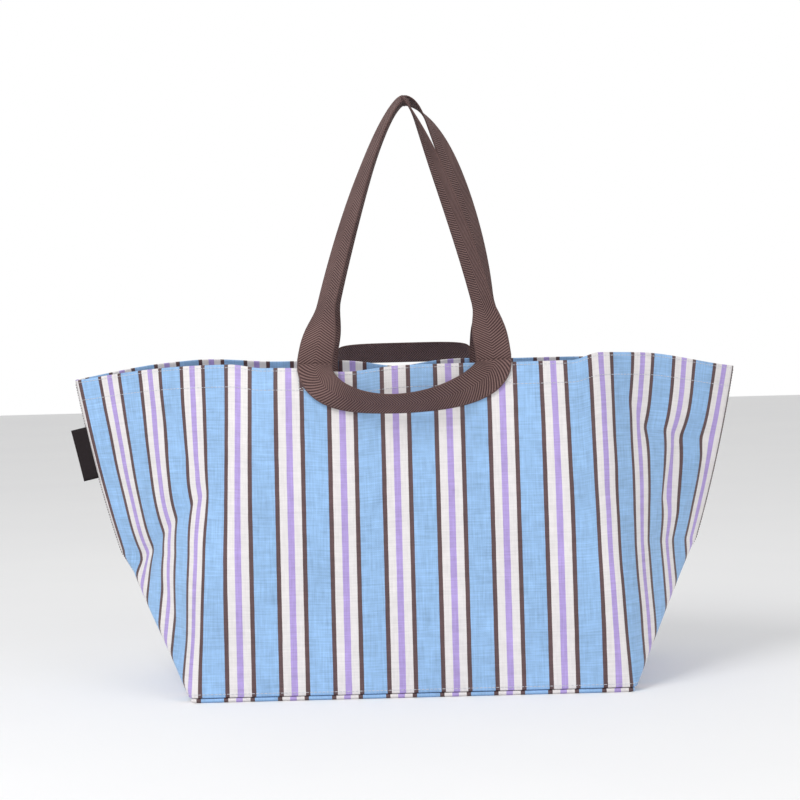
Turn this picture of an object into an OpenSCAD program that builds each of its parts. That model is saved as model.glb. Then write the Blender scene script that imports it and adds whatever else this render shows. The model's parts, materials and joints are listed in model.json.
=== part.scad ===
/* [Bag] */
// Width of the base, left to right
base_w = 465; // [420:5:500]
// Depth of the base, front to back
base_d = 330; // [310:5:350]
// Height of the rim above the floor, at the middle of a panel
rim_h = 346; // [320:2:370]
// Width of the flat front at the rim, between its two soft corners
rim_flat_w = 366; // [340:2:400]
// Depth of the mouth, front rim to back rim
mouth_d = 230; // [220:2:260]
// How much lower the rim is at the side seams
seam_drop = 15; // [0:1:25]
// Height of the folded triangle low on each side, at the side seam
gusset_h = 142; // [120:1:160]
// Thickness of the woven fabric, as a plain shell
fabric_t = 1.2; // [0.8:0.1:1.4]

/* [Hem, seams and thread] */
// Height of the turned-in hem
hem_h = 24; // [18:1:32]
// Thickness of the turned-in hem
hem_t = 1; // [0.6:0.1:1]
// Width of the binding tape on the inner seams
binding_w = 10; // [6:1:14]
// Thickness of the bound seam edge
binding_t = 2; // [1:0.2:2.4]
// Width of a line of thread
thread_w = 0.8; // [0.5:0.1:1.2]

/* [Handles] */
// Width of the webbing
web_w = 38; // [30:1:40]
// Thickness of the webbing
web_t = 1.6; // [1:0.1:1.8]
// Distance between the middles of a handle's two feet
feet_gap = 189; // [170:1:210]
// Height of the middle of the webbing at the long handles' highest point
apex_z = 634; // [600:1:660]
// How far right of the middle the highest point is
apex_x = 6.6; // [0:0.2:12]
// Drop of the hanging short handle, from its hinge to its middle
short_drop = 41; // [36:1:46]
// How far the hanging short handle stands out from its hinge
short_reach = 28; // [27:1:34]
// How far the back short handle is lifted from hanging, in degrees
back_lift = 60; // [55:1:65]

/* [Side label] */
// Width of the folded label, out from the seam
label_w = 15; // [10:1:20]
// Length of the label along the seam
label_len = 58; // [40:1:70]
// Height of the label's lower end above the floor
label_z = 224; // [150:1:240]

/* [Hidden] */

// fabric from a panel's middle to its side seam, the same at every height
half_loop = (base_w + base_d) / 2;
// gap left between the two panels at a side seam, where the label's tail is sewn in
seam_gap = 1;
// clearance between layers that lie on each other
layer_gap = 0.1;
// heights of a line of thread's two faces above the outer face
thread_in = 0.2;
thread_out = 0.55;
// radius of the soft vertical corner at the base and at the rim
corner_r_base = 6;
corner_r_rim = 60;
side_fold_r = 3;

// the shell's columns from the middle to the side seam: the flat middle, the soft corner, then
// the gusset, which has as many rows as columns so that its fold runs through their corners
flat_half = 114.5;
corner_cols = 8;
gusset_cols = 12;
upper_rows = 7;
half_us = concat([0], span(flat_half, base_w / 2, corner_cols),
    span(base_w / 2, half_loop, gusset_cols, 1));
last_col = len(half_us) - 1;
panel_us = concat([for (i = [last_col:-1:1]) -half_us[i]], half_us);
gusset_t = gusset_h / (rim_h - seam_drop);
hem_from = 1 - hem_h / rim_h;
row_t = concat(span(0, gusset_t, gusset_cols), span(gusset_t, hem_from, upper_rows, 1), [1]);
last_row = len(row_t) - 1;
// rings of a handle
long_rings = 44;
short_rings = 28;

panel_blue = "cornflowerblue";
web_brown = [0.43, 0.34, 0.32];
thread_grey = "gainsboro";

// depths of the layers inside the panel, outermost first
hem_in = fabric_t + layer_gap;
short_in = hem_in + hem_t + layer_gap;
long_in = short_in + web_t + 2 * layer_gap;

// hinge lines of the handles, as distances out from the middle plane and heights
foot_x = feet_gap / 2;
long_hinge_z = rim_h + 8;
long_hinge_y = fold_y(long_hinge_z / rim_h) - long_in - web_t / 2;
hinge_gap = 1.2;

// the short handle folds over the rim on an arc about this line
over_r = 2.6;
over_z = rim_h + 0.2;
over_y = mouth_d / 2 - (short_in + web_t / 2 - over_r);
over_end = 55;
short_hinge_y = over_y + over_r * sin(over_end);
short_hinge_z = over_z + over_r * cos(over_end);

// n equal steps between two values, from step number first on
function span(from, to, n, first = 0) = [for (i = [first:n]) from + (to - from) * i / n];
function unit(v) = v / norm(v);

// ---- the bag's surface, as a map from fabric to space ----

function ease(t) = 0.55 * t + 0.45 * t * t;
function fold_y(t) = base_d / 2 - (base_d - mouth_d) / 2 * ease(t);

// above the gusset, the flat front's half width, and the side seam's distance from the middle
function upper_fold_x(t) = base_w / 2 - (base_w - rim_flat_w) / 2 * ease(t);
function upper_seam_x(t) = let (w = upper_fold_x(t))
    w + sqrt(max(0, pow(half_loop - w, 2) - pow(fold_y(t), 2)));

// where a panel's flank ends in plan: at the gusset's fold, and above the gusset at the seam
function tip(t) = let (m = t / gusset_t)
    m < 1 ? [base_w / 2 + (upper_seam_x(gusset_t) - base_w / 2) * m, -base_d / 2 * (1 - m)]
    : [upper_seam_x(t), 0];

// the flat front's half width that leaves the fabric its length round to the tip
least_t = 0.004;
function fold_x(t) = let (s = max(t, least_t), e = tip(s), run = half_loop + e.y)
    (run * run - e.x * e.x - pow(fold_y(s) + e.y, 2)) / (2 * (run - e.x));

// a bend of radius r at x = 0: how far the path has gone on past it, and how much it has turned
function rounded(x, r) = (pow(max(x + r, 0), 2) - pow(max(x - r, 0), 2)) / (4 * r);
function turned(x, r) = min(1, max(0, (x + r) / (2 * r)));

// place and direction in plan at arc a from the middle: front, soft corner, flank, fold, gusset
function plan(a, t) =
    let (s = max(t, least_t), e = tip(s), x = fold_x(s), flank = unit(e - [x, -fold_y(s)]),
        corner_r = corner_r_base + (corner_r_rim - corner_r_base) * s,
        fold_r = min(side_fold_r, seam_gap / 2 - e.y), past = a - x, over = a - half_loop - e.y)
    [[a, -fold_y(s)] + (flank - [1, 0]) * rounded(past, corner_r)
            + ([0, 1] - flank) * rounded(over, fold_r),
        unit([1, 0] + (flank - [1, 0]) * turned(past, corner_r)
            + ([0, 1] - flank) * turned(over, fold_r))];

// height of the rim at arc a from the middle
function rim_z(a) =
    rim_h - seam_drop * pow(max(0, (a - rim_flat_w / 2) / (half_loop - rim_flat_w / 2)), 2);

// the front half: u is the distance along the fabric, t the height from 0 to 1,
// out the distance out of the outer face; at a side seam the layers are mitred
function skin_at(u, t, out) =
    let (a = min(abs(u), half_loop), here = plan(a, t), p = here[0], n = [here[1].y, -here[1].x],
        at_seam = a > half_loop - nudge,
        x = at_seam ? p.x + out / n.x : p.x + n.x * out,
        y = at_seam ? -seam_gap / 2 : min(-seam_gap / 2, p.y + n.y * out))
    [(u < 0 ? -1 : 1) * x, y, rim_z(a) * t];

// the same point on the shell's own flat facets, so that what lies on it stays clear of it
nudge = 0.0001;
function step_of(list, value) =
    min(len(list) - 2, max(0, len([for (v = list) if (v <= value + nudge) v]) - 1));
function facet_at(u, t, out) =
    let (a = abs(u), i = step_of(half_us, a), j = step_of(row_t, t),
        p = (a - half_us[i]) / (half_us[i + 1] - half_us[i]),
        q = (t - row_t[j]) / (row_t[j + 1] - row_t[j]),
        low = skin_at(half_us[i], row_t[j], out),
        high = skin_at(half_us[i + 1], row_t[j + 1], out),
        corner = p > q ? skin_at(half_us[i + 1], row_t[j], out) : skin_at(half_us[i], row_t[j + 1], out),
        here = low + max(p, q) * (corner - low) + min(p, q) * (high - corner))
    [u < 0 ? -here.x : here.x, here.y, here.z];

// ---- shared building blocks ----

// joins a row of rings, each with an even number of points, into one closed solid; where
// mirrored says so for a gap between rings, its squares are cut along their other diagonal,
// the same way on a layer's outer and inner face
module loft(rings, mirrored = []) {
    m = len(rings[0]);
    n = len(rings);
    h = m / 2;
    sides = [for (i = [0:n - 2], k = [0:m - 1])
        let (a = i * m + k, b = i * m + (k + 1) % m,
            crossed = len(mirrored) > 0 && mirrored[i] != (k >= h))
        each crossed ? [[a, b, a + m], [b, b + m, a + m]] : [[a, b, b + m], [a, b + m, a + m]]];
    e = (n - 1) * m;
    caps = [for (k = [0:h - 2]) let (a = k, b = k + 1, c = m - 2 - k, d = m - 1 - k)
        each [[a, d, c], [a, c, b], [e + a, e + b, e + c], [e + a, e + c, e + d]]];
    polyhedron(points = [for (r = rings) each r], faces = concat(sides, caps), convexity = 10);
}

// a layer of the front half over lists of columns and heights, between two depths
module layer(us, heights, outer, inner) {
    last = len(heights) - 1;
    loft([for (u = us) concat([for (j = [0:last]) skin_at(u, heights[j], outer)],
            [for (j = [last:-1:0]) skin_at(u, heights[j], inner)])],
        [for (i = [0:len(us) - 2]) us[i] < -nudge]);
}

// a line of thread on the outer face, through fabric points [u, height]
module thread(path) {
    w = thread_w / 2;
    loft([for (i = [0:len(path) - 1])
        let (d = unit(path[min(i + 1, len(path) - 1)] - path[max(i - 1, 0)]), side = [-d.y, d.x] * w,
            lo = path[i] - side, hi = path[i] + side)
        [facet_at(lo.x, lo.y / rim_h, thread_out), facet_at(hi.x, hi.y / rim_h, thread_out),
            facet_at(hi.x, hi.y / rim_h, thread_in), facet_at(lo.x, lo.y / rim_h, thread_in)]]);
}

// a level thread bends where it crosses an edge between two facets
module level_thread(height) {
    j = step_of(row_t, height / rim_h);
    q = (height / rim_h - row_t[j]) / (row_t[j + 1] - row_t[j]);
    stops = [for (i = [0:last_col - 1], p = [0, q]) half_us[i] + p * (half_us[i + 1] - half_us[i])];
    ways = concat(stops, [half_loop]);
    thread(concat([for (i = [len(ways) - 1:-1:1]) [-ways[i], height]], [for (w = ways) [w, height]]));
}

// flat webbing along a row of stations, each [middle, width direction, tangent]; its two faces
// are cut along the same diagonals, so that it keeps its thickness where it is twisted
module webbing(stations)
    loft([for (s = stations)
        let (w = s[1] * web_w / 2, up = unit(cross(s[1], s[2])) * web_t / 2)
        [s[0] + w - up, s[0] + w + up, s[0] - w + up, s[0] - w - up]],
        [for (i = [1:len(stations) - 1]) false]);

module at_back() mirror([0, 1, 0]) children();

function bezier(p, s) = pow(1 - s, 3) * p[0] + 3 * s * pow(1 - s, 2) * p[1]
    + 3 * s * s * (1 - s) * p[2] + pow(s, 3) * p[3];

// ---- panels, hems and bindings ----

module rounded_plate(w, d, r, h)
    linear_extrude(h) {
        square([w - 2 * r, d], center = true);
        square([w, d - 2 * r], center = true);
        for (x = [-1, 1], y = [-1, 1])
            translate([x * (w / 2 - r), y * (d / 2 - r)]) circle(r, $fn = 48);
    }

base_inset = fabric_t + 3 * layer_gap;
base_t = 1.6;
base_corner = 12;

module base_panel() color(panel_blue)
    rounded_plate(base_w - 2 * base_inset, base_d - 2 * base_inset, base_corner, base_t);

module half_panel() layer(panel_us, row_t, 0, -fabric_t);
module front_panel() color("lightskyblue") half_panel();
module back_panel() color("lightskyblue") at_back() half_panel();

module half_hem() layer(panel_us, [hem_from, 1], -hem_in, -hem_in - hem_t);
module front_rim_hem() color("steelblue") half_hem();
module back_rim_hem() color("steelblue") at_back() half_hem();

// the bound edge of a side seam: a fin that starts in the corner between the two panels
module side_binding() {
    depth = short_in + 0.2;
    taper = 3;
    loft([for (j = [1:24])
        let (t = 0.02 + 0.96 * j / 24, tip = skin_at(half_loop, t, -depth), h = binding_t / 2)
        [[tip.x - binding_w, h, tip.z], [tip.x - taper, h, tip.z], [tip.x, 0.1, tip.z],
            [tip.x, -0.1, tip.z], [tip.x - taper, -h, tip.z], [tip.x - binding_w, -h, tip.z]]]);
}
module left_seam_binding() color("saddlebrown") mirror([1, 0, 0]) side_binding();
module right_seam_binding() color("saddlebrown") side_binding();

module base_seam_binding() color("saddlebrown")
    translate([0, 0, base_t + layer_gap]) difference() {
        outer = base_inset + 0.7;
        inner = outer + binding_w;
        rounded_plate(base_w - 2 * outer, base_d - 2 * outer, base_corner, binding_t / 2);
        translate([0, 0, -1])
            rounded_plate(base_w - 2 * inner, base_d - 2 * inner, 4, binding_t / 2 + 2);
    }

// ---- thread ----

hem_line = rim_h - hem_h + 1;
edge_line = rim_h - 3;

module rim_stitching() {
    level_thread(hem_line);
    level_thread(edge_line);
}
module front_rim_stitching() color(thread_grey) rim_stitching();
module back_rim_stitching() color(thread_grey) at_back() rim_stitching();

// thread down a side seam, on the ridge between the panels
module side_stitching() {
    r = 0.35;
    loft([for (j = [0:24])
        let (t = 0.02 + 0.96 * j / 24, p = skin_at(half_loop, t, 0), x = p.x + 0.5)
        [[x - r, r, p.z], [x + r, r, p.z], [x + r, -r, p.z], [x - r, -r, p.z]]]);
}
module left_seam_stitching() color("black") mirror([1, 0, 0]) side_stitching();
module right_seam_stitching() color("black") side_stitching();

base_line = 4;
module base_seam_stitching() color(thread_grey) {
    level_thread(base_line);
    at_back() level_thread(base_line);
}

// a sewn box with a cross in it, over one foot of the handles
module box_stitching(x) {
    w = web_w / 2 - 2;
    lo = hem_line + 1.5;
    hi = edge_line - 1.5;
    thread([[x - w, lo], [x, lo], [x + w, lo]]);
    thread([[x - w, hi], [x, hi], [x + w, hi]]);
    for (s = [-1, 1]) {
        thread([[x + s * w, lo], [x + s * w, hi]]);
        thread([[x - s * w, lo], [x, (lo + hi) / 2], [x + s * w, hi]]);
    }
}
module front_left_box_stitching() color(thread_grey) box_stitching(-foot_x);
module front_right_box_stitching() color(thread_grey) box_stitching(foot_x);
module back_left_box_stitching() color(thread_grey) at_back() box_stitching(-foot_x);
module back_right_box_stitching() color(thread_grey) at_back() box_stitching(foot_x);

// ---- handles ----

// the sewn ends of a long handle, flat inside the hem and up to just below the hinge
module long_ends()
    for (x = [-foot_x, foot_x])
        layer([x - web_w / 2, x + web_w / 2], [hem_from, 1, (long_hinge_z - hinge_gap) / rim_h],
            -long_in, -long_in - web_t);
module long_handle_front_ends() color(web_brown) long_ends();
module long_handle_back_ends() color(web_brown) at_back() long_ends();

// the sewn ends of a short handle, up the inside of the hem and over the rim
over_steps = 8;
over_clear = 45;
module short_ends() {
    depth = short_in + web_t / 2;
    rise = [for (t = [hem_from, 0.98]) [-(fold_y(t) - depth), t * rim_h]];
    over = [for (i = [0:over_steps]) let (a = -90 + (over_end - over_clear + 90) * i / over_steps)
        [-over_y - over_r * sin(a), over_z + over_r * cos(a)]];
    path = concat(rise, over);
    last = len(path) - 1;
    for (x = [-foot_x, foot_x])
        webbing([for (i = [0:last]) let (d = path[min(i + 1, last)] - path[max(i - 1, 0)])
            [[x, path[i].x, path[i].y], [1, 0, 0], unit([0, d.x, d.y])]]);
}
module short_handle_front_ends() color(web_brown) short_ends();
module short_handle_back_ends() color(web_brown) at_back() short_ends();

// the long loops: two legs each that meet at the high point; the back one's right leg swings out
left_leg = [[-foot_x, long_hinge_z], [-foot_x + 16.5, long_hinge_z + 86], [apex_x - 30, apex_z - 9],
    [apex_x, apex_z]];
front_right_leg = [[apex_x, apex_z], [apex_x + 8, apex_z - 4.5], [foot_x - 10.5, long_hinge_z + 98],
    [foot_x, long_hinge_z]];
back_right_leg = [[apex_x, apex_z], [apex_x + 33, apex_z + 1], [foot_x + 9.5, long_hinge_z + 116],
    [foot_x, long_hinge_z]];
apex_y = web_w / 2 + 0.5;
apex_tilt = 0.24;

function smooth(x) = let (w = min(1, max(0, x))) w * w * (3 - 2 * w);
function long_rise(z) = (z - long_hinge_z) / (apex_z - long_hinge_z);
function long_at(s, right_leg) =
    let (p = s < 0.5 ? bezier(left_leg, 2 * s) : bezier(right_leg, 2 * s - 1))
    [p.x, -long_hinge_y + (long_hinge_y - apex_y) * long_rise(p.y), p.y];
// the width turns from along the rim at the feet, quickly at first, to front-to-back at the high
// point, and back again down the other leg; late says how late a leg takes the rest of its turn
foot_turn = 58;
foot_straight = 4;
foot_turn_h = 55;
leg_late = 3;
swung_leg_late = 6;
tilt_from = 0.7;
square_share = 1 / 8;
function long_turn(z, late) = foot_turn * smooth((z - long_hinge_z - foot_straight) / foot_turn_h)
    + (90 - foot_turn) * pow(max(0, long_rise(z)), late);
module long_loop(right_leg, right_late)
    webbing([for (i = [0:long_rings])
        let (s = i / long_rings, e = 0.1 / long_rings, p = long_at(s, right_leg),
            turn = long_turn(p.z, s < 0.5 ? leg_late : right_late),
            ahead = unit(long_at(min(1, s + e), right_leg) - long_at(max(0, s - e), right_leg)),
            tilt = apex_tilt * sin(turn) * smooth((long_rise(p.z) - tilt_from) / (1 - tilt_from)),
            wide = [cos(turn), -sin(turn), -tilt],
            squared = min(1, min(s, 1 - s) / square_share))
        [p, unit(wide - squared * (wide * ahead) * ahead), ahead]]);
module long_handle_front() color(web_brown) long_loop(front_right_leg, leg_late);
module long_handle_back() color(web_brown) at_back() long_loop(back_right_leg, swung_leg_late);

// the short loops: half a blunted ellipse in a leaning plane, with the webbing turned out of that
// plane towards the middle; the front one hangs with its middle edge-on and a little to the left
front_turn = -90;
front_turn_power = 1;
front_blunt = 1;
front_skew = -12;
back_turn = -42;
back_turn_power = 0.7;
back_blunt = 0.5;
short_size = norm([short_reach, short_drop]);

// place in the loop's plane, [sideways, down], at angle a of the half ellipse
function short_at(a, blunt, skew) =
    [-foot_x * sign(cos(a)) * pow(abs(cos(a)), blunt) + skew * pow(sin(a), 2),
        short_size * pow(abs(sin(a)), blunt)];
module short_loop(turn, turn_power, blunt, skew) {
    hinge = [0, -short_hinge_y, short_hinge_z];
    down = unit([0, -short_reach, -short_drop]);
    face = [0, down.z, -down.y];
    step = 180 / short_rings;
    webbing([for (i = [0:short_rings])
        let (a = i * step, p = short_at(a, blunt, skew),
            along = short_at(min(a + step / 2, 180), blunt, skew)
                - short_at(max(a - step / 2, 0), blunt, skew),
            t = i == 0 ? [0, 1] : i == short_rings ? [0, -1] : unit(along),
            in_plane = [t.y, 0, 0] - t.x * down,
            here = turn * pow(abs(sin(a)), turn_power))
        [hinge + [p.x, 0, 0] + p.y * down,
            in_plane * cos(here) - face * sin(here), [t.x, 0, 0] + t.y * down]]);
}
module short_handle_front() color(web_brown)
    short_loop(front_turn, front_turn_power, front_blunt, front_skew);
module short_handle_back() color(web_brown) at_back()
    translate([0, -short_hinge_y, short_hinge_z]) rotate([-back_lift, 0, 0])
        translate([0, short_hinge_y, -short_hinge_z])
            short_loop(back_turn, back_turn_power, back_blunt, 0);

// ---- side label ----

label_t = 1.2;
label_off = 1.6;
label_low = skin_at(-half_loop, label_z / rim_z(half_loop), 0);
label_high = skin_at(-half_loop, (label_z + label_len) / rim_z(half_loop), 0);
label_dir = unit([label_high.x - label_low.x, label_high.z - label_low.z]);
label_out = [-label_dir.y, label_dir.x];
label_foot = [label_low.x, label_low.z];

module label_plate(from, to, t)
    rotate([90, 0, 0]) linear_extrude(t, center = true)
        polygon([label_foot + label_out * from, label_foot + label_out * to,
            label_foot + label_out * to + label_dir * label_len,
            label_foot + label_out * from + label_dir * label_len]);

module side_label() color([0.15, 0.1, 0.11]) label_plate(label_off, label_off + label_w, label_t);
module side_label_tail() color([0.15, 0.1, 0.11]) label_plate(-1.1, -0.3, seam_gap - 0.2);

base_panel();
front_panel();
back_panel();
front_rim_hem();
back_rim_hem();
left_seam_binding();
right_seam_binding();
base_seam_binding();
front_rim_stitching();
back_rim_stitching();
left_seam_stitching();
right_seam_stitching();
base_seam_stitching();
front_left_box_stitching();
front_right_box_stitching();
back_left_box_stitching();
back_right_box_stitching();
long_handle_front_ends();
long_handle_back_ends();
short_handle_front_ends();
short_handle_back_ends();
side_label_tail();
long_handle_front();
long_handle_back();
short_handle_front();
short_handle_back();
side_label();
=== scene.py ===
import json
import math

import bpy
import numpy as np
from mathutils import Matrix, Vector


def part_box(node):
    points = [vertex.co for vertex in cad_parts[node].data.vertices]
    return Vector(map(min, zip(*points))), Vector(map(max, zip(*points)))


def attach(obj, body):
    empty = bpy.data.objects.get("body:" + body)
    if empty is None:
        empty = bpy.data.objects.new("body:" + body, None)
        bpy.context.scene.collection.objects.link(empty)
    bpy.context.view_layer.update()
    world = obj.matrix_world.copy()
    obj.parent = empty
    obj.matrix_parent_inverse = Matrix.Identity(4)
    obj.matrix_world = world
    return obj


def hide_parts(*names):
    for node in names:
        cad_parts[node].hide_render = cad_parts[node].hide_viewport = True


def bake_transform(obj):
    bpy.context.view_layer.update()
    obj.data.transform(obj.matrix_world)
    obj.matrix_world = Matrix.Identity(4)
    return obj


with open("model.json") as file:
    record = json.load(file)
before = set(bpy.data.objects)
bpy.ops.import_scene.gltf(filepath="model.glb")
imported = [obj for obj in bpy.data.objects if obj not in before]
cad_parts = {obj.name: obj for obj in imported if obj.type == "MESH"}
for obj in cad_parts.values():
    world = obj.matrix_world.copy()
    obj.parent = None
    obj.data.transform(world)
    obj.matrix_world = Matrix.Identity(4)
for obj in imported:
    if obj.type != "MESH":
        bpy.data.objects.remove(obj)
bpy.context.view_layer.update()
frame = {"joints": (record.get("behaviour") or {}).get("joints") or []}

MM = 0.001

# ---- the bag's driving sizes, in millimetres, read from the frame where it holds them ----

panel_lo, panel_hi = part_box("front_panel")
RIM_H = panel_hi.z / MM
BASE_D = -2 * panel_lo.y / MM
BASE_W = (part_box("base_panel")[1].x / MM + 1.3) * 2
HALF_LOOP = (BASE_W + BASE_D) / 2
RIM_FLAT_W = 366.0
MOUTH_D = 230.0
SEAM_DROP = 15.0
CORNER_R_BASE = 7.0
CORNER_R_RIM = 80.0
GUSSET_T = 142 / (RIM_H - SEAM_DROP)
SIDE_FOLD_R = 9.0
FABRIC_T = 0.7
HEM_H = 24.0
SEAM_ALLOWANCE = 9.0
WEB_W = 38.0
WEB_T = 1.7
FOOT_X = (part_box("long_handle_front_ends")[1].x / MM) - WEB_W / 2


def hinge(name):
    """A joint's point, in millimetres."""
    joint = next(j for j in frame["joints"] if j["name"] == name)
    return np.array(joint["pos_m"]) / MM


def smooth(x, lo, hi):
    w = np.clip((x - lo) / (hi - lo), 0, 1)
    return w * w * (3 - 2 * w)


def bump_at(x, middle, width):
    return np.exp(-((x - middle) / width) ** 2)


# ---- the bag's surface: u is along the fabric, t up it from 0 to 1, out is out of the outer face ----


def ease(t):
    return 0.55 * t + 0.45 * t * t


def fold_y(t):
    return BASE_D / 2 - (BASE_D - MOUTH_D) / 2 * ease(t)


def upper_fold_x(t):
    return BASE_W / 2 - (BASE_W - RIM_FLAT_W) / 2 * ease(t)


def upper_seam_x(t):
    side = HALF_LOOP - upper_fold_x(t)
    return upper_fold_x(t) + np.sqrt(np.maximum(side**2 - fold_y(t) ** 2, 0))


def tip(t):
    """Where the flank of a panel ends in plan: the side fold, and above the gusset the seam."""
    m = np.minimum(t / GUSSET_T, 1)
    low_x = BASE_W / 2 + (upper_seam_x(GUSSET_T) - BASE_W / 2) * m
    return np.where(m < 1, low_x, upper_seam_x(t)), BASE_D / 2 * (1 - m)


def fold_x(t):
    """Half the width of the flat front, from the fabric's length round to the side fold."""
    t = np.maximum(t, 0.004)
    x, y = tip(t)
    run = HALF_LOOP - y
    return (run**2 - x**2 - (fold_y(t) - y) ** 2) / (2 * (run - x))


def rounded(x, r):
    """How far past a bend of radius r, with the bend spread evenly over its width."""
    return (np.maximum(x + r, 0) ** 2 - np.maximum(x - r, 0) ** 2) / (4 * r)


def plan(a, t):
    """The loop of one half panel: place and outward normal in plan, at arc a from the middle."""
    t = np.maximum(t, 0.004)
    fx, fy = fold_x(t), fold_y(t)
    cx, cy = tip(t)
    flank = np.hypot(cx - fx, fy - cy)
    dx, dy = (cx - fx) / flank, (fy - cy) / flank
    front_r = CORNER_R_BASE + (CORNER_R_RIM - CORNER_R_BASE) * t
    side_r = np.minimum(SIDE_FOLD_R, cy + 0.2)
    past_front, past_side = a - fx, a - (HALF_LOOP - cy)
    x = a + (dx - 1) * rounded(past_front, front_r) - dx * rounded(past_side, side_r)
    y = -fy + dy * rounded(past_front, front_r) + (1 - dy) * rounded(past_side, side_r)
    w = np.clip((past_front + front_r) / (2 * front_r), 0, 1)
    v = np.clip((past_side + side_r) / (2 * side_r), 0, 1)
    tx, ty = 1 + (dx - 1) * w - dx * v, dy * w + (1 - dy) * v
    size = np.hypot(tx, ty)
    return x, y, ty / size, -tx / size


# a dent is (side, from (u, z), to (u, z), depth, reach): a crease pushed in, sharp at its line
DENTS = [
    ("front", (-232, 211), (-385, 126), 6.5, 17),
    ("front", (-240, 236), (-262, 266), 2.0, 14),
    ("front", (-262, 250), (-300, 330), 1.6, 20),
    ("front", (-214, 300), (-226, 190), 1.5, 12),
    ("front", (-300, 110), (-262, 60), 2.2, 14),
    ("front", (252, 300), (285, 268), 3.5, 16),
    ("front", (285, 268), (368, 262), 5.0, 18),
    ("front", (335, 255), (322, 195), 6.0, 14),
    ("front", (368, 240), (350, 180), -3.0, 16),
    ("front", (205, 345), (222, 230), -1.6, 14),
    ("front", (60, 60), (150, 20), 0.8, 22),
    ("front", (-60, 190), (-20, 120), 0.7, 26),
    ("front", (120, 240), (160, 150), 0.9, 24),
    ("back", (-255, 215), (-370, 145), 6.5, 20),
    ("back", (250, 235), (365, 170), 7.0, 20),
    ("back", (300, 120), (285, 190), 4.0, 18),
]


def dent(u, z, a, b, depth, reach):
    a, b = np.array(a, float), np.array(b, float)
    d = b - a
    w = np.clip(((u - a[0]) * d[0] + (z - a[1]) * d[1]) / (d @ d), 0, 1)
    far = np.hypot(u - a[0] - w * d[0], z - a[1] - w * d[1])
    soft = 3.0
    return -depth * np.exp(-(np.hypot(far, soft) - soft) / reach)


def relief(u, z, side):
    """How far the limp fabric stands out of its plain shape: creases, ripples and a soft billow."""
    out = np.zeros_like(u * z)
    for where, a, b, depth, reach in DENTS:
        if where == side:
            out = out + dent(u, z, a, b, depth, reach)
    k = 1.0 if side == "front" else -1.0
    high = smooth(z, 90, RIM_H)
    out = out + 1.6 * high * np.sin(u / 27.0 + 0.8 * k) * smooth(np.abs(u), 120, 230)
    out = out + 0.9 * np.sin(u / 61.0 + 1.7 * k + z / 90.0) + 0.5 * np.sin(u / 19.0 - z / 70.0 + k)
    out = out + 0.35 * np.sin(z / 13.0 + u / 33.0) * np.sin(u / 41.0 + z / 57.0)
    # the gusset under the side fold sags inwards a little
    below = np.abs(u) - BASE_W / 2 - z
    out = out * (1 - 0.7 * smooth(below, -12, 12))
    out = out - 5.0 * smooth(below, 4, 90) * smooth(z, 5, 60)
    calm = smooth(z, 0, 45) * (1 - 0.6 * bump_at(z, RIM_H, 26))
    return out * calm


def rim_lift(u, side):
    """How far the rim stands above or below its plain height."""
    a = np.maximum(np.abs(u) - RIM_FLAT_W / 2, 0) / (HALF_LOOP - RIM_FLAT_W / 2)
    drop = -SEAM_DROP * a**2
    if side == "front":
        wave = 4.5 * smooth(-u, 150, 190) * (1 - 0.35 * smooth(-u, 240, 380))
        wave = wave - 6 * bump_at(u, -62, 38)
        wave = wave + 7.5 * smooth(u, 180, 215) * (1 - 0.9 * smooth(u, 270, 385))
    else:
        wave = 6.5 * smooth(-u, 140, 250) * (1 - 0.4 * smooth(-u, 290, 397))
        wave = wave - 7 * bump_at(u, -8, 36)
        wave = wave - 2.5 * smooth(u, 60, 140) * (1 - smooth(u, 220, 390))
        wave = wave - 2 * bump_at(u, 30, 90)
    return drop + wave


def bag_at(u, t, out, side):
    """Points of one panel, in metres, at fabric place u, height t and distance out."""
    u, t, out = np.broadcast_arrays(
        np.asarray(u, float), np.asarray(t, float), np.asarray(out, float)
    )
    a = np.minimum(np.abs(u), HALF_LOOP)
    sign = np.where(u < 0, -1.0, 1.0)
    x, y, nx, ny = plan(a, t)
    # the rim and the seam's ridge stay where they are: the relief fades towards the seam
    edge = smooth(HALF_LOOP - a, 0, 22)
    push = out + relief(u, t * RIM_H, side) * edge
    x = x + nx * push
    y = np.minimum(y + ny * push, -0.45)
    # past the seam the fabric turns in, flat against the other panel's edge
    spare = np.maximum(np.abs(u) - HALF_LOOP, 0)
    x = x - spare
    y = np.where(spare > 0, -0.45, y)
    z = (RIM_H + rim_lift(np.sign(u) * a, side)) * t
    points = np.stack([sign * x, y, z], -1) * MM
    if side == "back":
        points = points * np.array([1.0, -1.0, 1.0])
    return points


# ---- mesh helpers ----


def new_piece(name, verts, faces, body, nodes, material, uv=None):
    """A mesh piece that rides on a body and stands for CAD nodes. uv is one pair for each vertex."""
    mesh = bpy.data.meshes.new(name)
    mesh.from_pydata([tuple(v) for v in verts], [], [tuple(f) for f in faces])
    mesh.validate()
    if uv is not None:
        layer = mesh.uv_layers.new(name="fabric")
        index = np.empty(len(mesh.loops), int)
        mesh.loops.foreach_get("vertex_index", index)
        layer.data.foreach_set("uv", np.asarray(uv, float)[index].ravel())
    mesh.materials.append(material)
    mesh.polygons.foreach_set("use_smooth", [True] * len(mesh.polygons))
    mesh.update()
    piece = bpy.data.objects.new(name, mesh)
    bpy.context.scene.collection.objects.link(piece)
    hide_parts(*nodes)
    if body:
        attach(piece, body)
    return piece


def grid_faces(rows, cols, flip=False, wrap=False):
    faces = []
    for j in range(rows - 1):
        for i in range(cols if wrap else cols - 1):
            a, b = j * cols + i, j * cols + (i + 1) % cols
            quad = (a, b, b + cols, a + cols)
            faces.append(quad[::-1] if flip else quad)
    return faces


# ---- materials ----


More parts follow.
